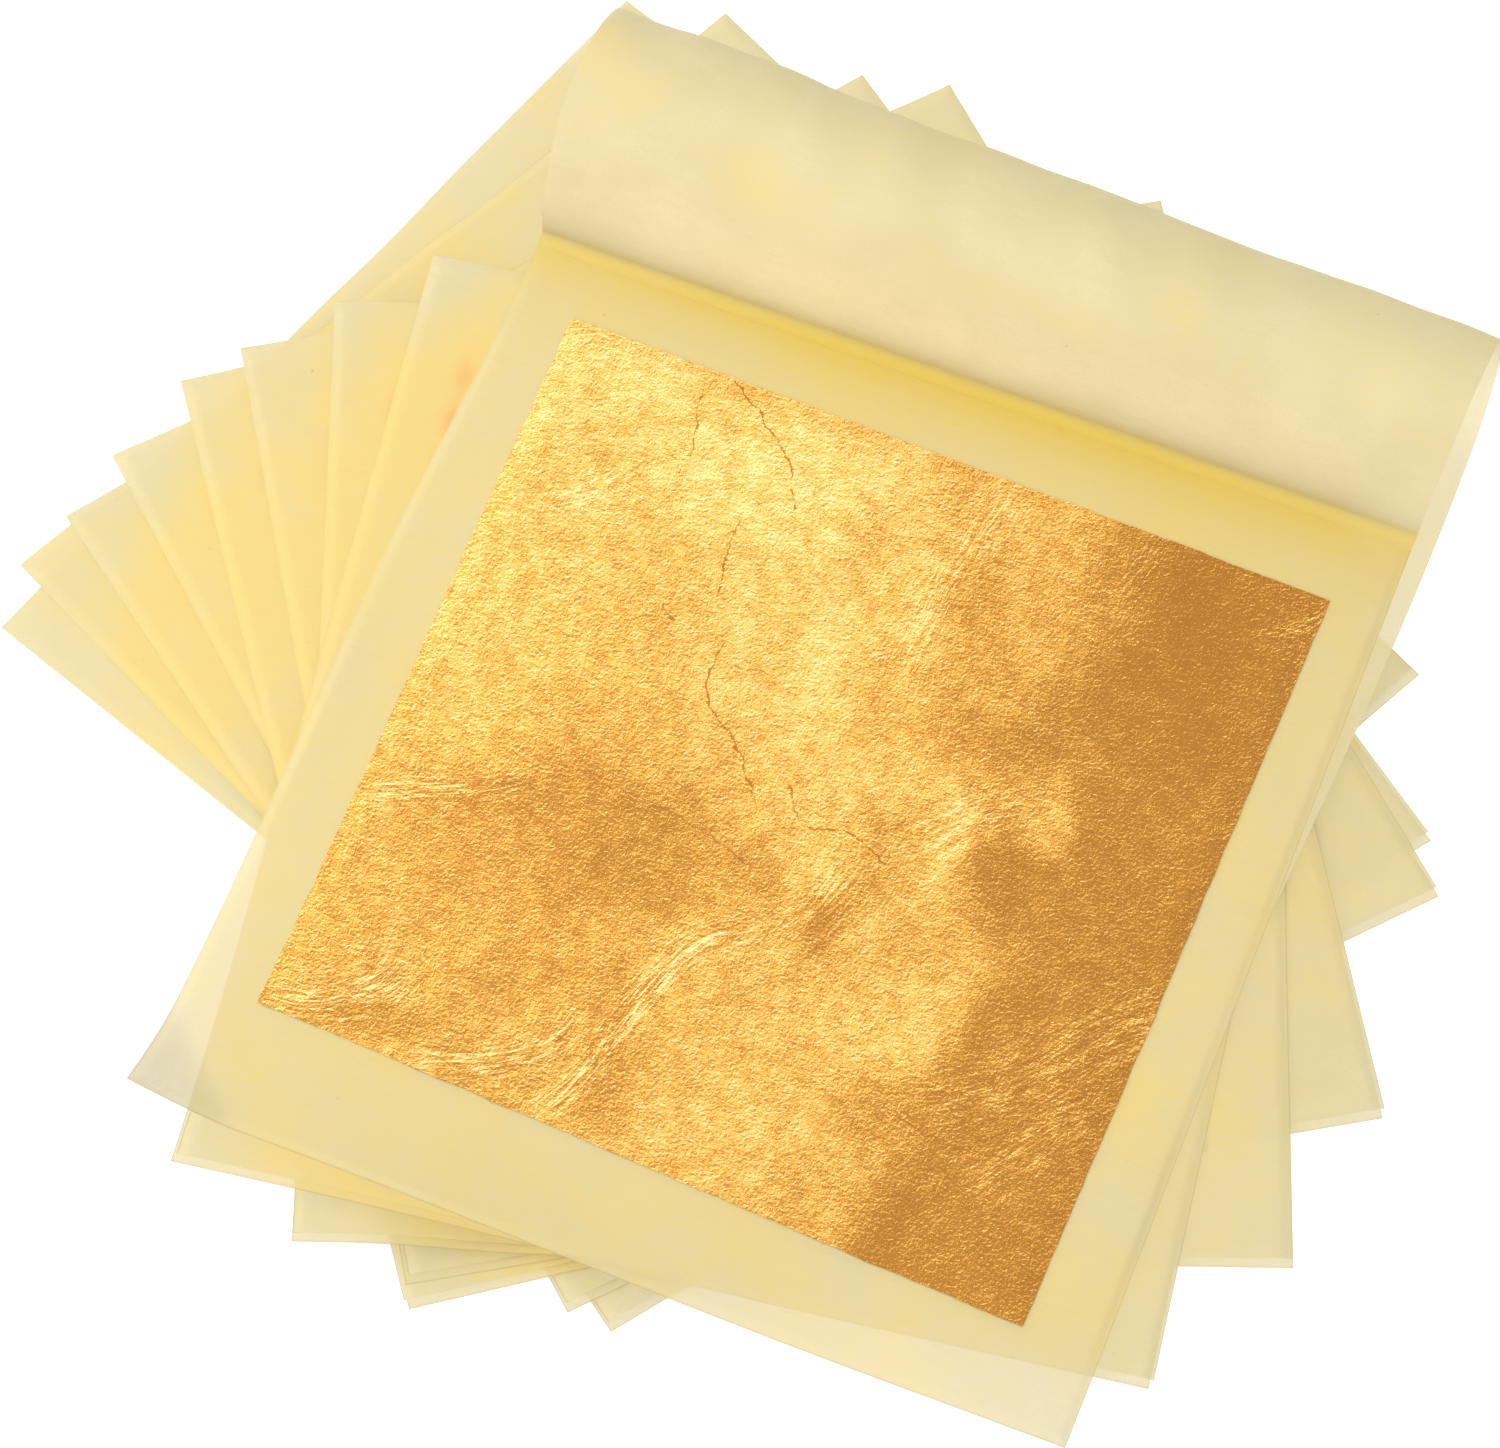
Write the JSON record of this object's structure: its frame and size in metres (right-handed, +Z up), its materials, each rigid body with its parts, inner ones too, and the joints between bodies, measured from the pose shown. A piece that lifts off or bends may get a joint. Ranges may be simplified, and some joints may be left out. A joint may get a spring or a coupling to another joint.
{
  "type": "gold leaf tissue folders",
  "caption": "Fanned pile of folded tissue sheets that each hold a square of gold leaf; the top folder lies open, its cover page rolled back and tucked under the page.",
  "frame": {"origin": "the point that the fan of folders turns about, on the underside of the bottom folder", "axes": "+X along the fold of the top folder, +Y across its open page towards the fold, +Z up from the table"},
  "size_m": [0.144, 0.1426, 0.0211],
  "materials": {
    "tissue": "matte",
    "gold_leaf": "satin"
  },
  "bodies": {
    "folder_9": {"folder_9": "tissue", "leaf_9": "gold_leaf"},
    "folder_8": {"folder_8": "tissue", "leaf_8": "gold_leaf"},
    "folder_7": {"folder_7": "tissue", "leaf_7": "gold_leaf"},
    "folder_6": {"folder_6": "tissue", "leaf_6": "gold_leaf"},
    "folder_5": {"folder_5": "tissue", "leaf_5": "gold_leaf"},
    "folder_4": {"folder_4": "tissue", "leaf_4": "gold_leaf"},
    "folder_3": {"folder_3": "tissue", "leaf_3": "gold_leaf"},
    "folder_2": {"folder_2": "tissue", "leaf_2": "gold_leaf"},
    "top_folder": {"turned_cover": "tissue"},
    "open_page": {"open_page": "tissue"},
    "top_leaf": {"top_leaf": "gold_leaf"}
  },
  "joints": [
    {"name": "fan_8", "type": "hinge", "parent": "folder_9", "child": "folder_8", "pos_m": [0, 0, 0], "axis": [0, 0, 1], "range_deg": [-7.8, 7.2]},
    {"name": "fan_7", "type": "hinge", "parent": "folder_8", "child": "folder_7", "pos_m": [0, 0, 0], "axis": [0, 0, 1], "range_deg": [-5.2, 9.8]},
    {"name": "fan_6", "type": "hinge", "parent": "folder_7", "child": "folder_6", "pos_m": [0, 0, 0], "axis": [0, 0, 1], "range_deg": [-9.5, 5.5]},
    {"name": "fan_5", "type": "hinge", "parent": "folder_6", "child": "folder_5", "pos_m": [0, 0, 0], "axis": [0, 0, 1], "range_deg": [-2, 13]},
    {"name": "fan_4", "type": "hinge", "parent": "folder_5", "child": "folder_4", "pos_m": [0, 0, 0], "axis": [0, 0, 1], "range_deg": [-11.4, 3.6]},
    {"name": "fan_3", "type": "hinge", "parent": "folder_4", "child": "folder_3", "pos_m": [0, 0, 0], "axis": [0, 0, 1], "range_deg": [-3.6, 11.4]},
    {"name": "fan_2", "type": "hinge", "parent": "folder_3", "child": "folder_2", "pos_m": [0, 0, 0], "axis": [0, 0, 1], "range_deg": [-2.8, 12.2]},
    {"name": "fan_top", "type": "hinge", "parent": "folder_2", "child": "top_folder", "pos_m": [0, 0, 0], "axis": [0, 0, 1], "range_deg": [-6.9, 8.1]},
    {"name": "page_lift", "type": "hinge", "parent": "top_folder", "child": "open_page", "pos_m": [0.0221, 0.05198, 0.00316], "axis": [-1, 0, 0], "range_deg": [0, 50]},
    {"name": "leaf_lift", "type": "slide", "parent": "open_page", "child": "top_leaf", "axis": [0, 0, 1], "range_m": [0, 0.03]}
  ]
}
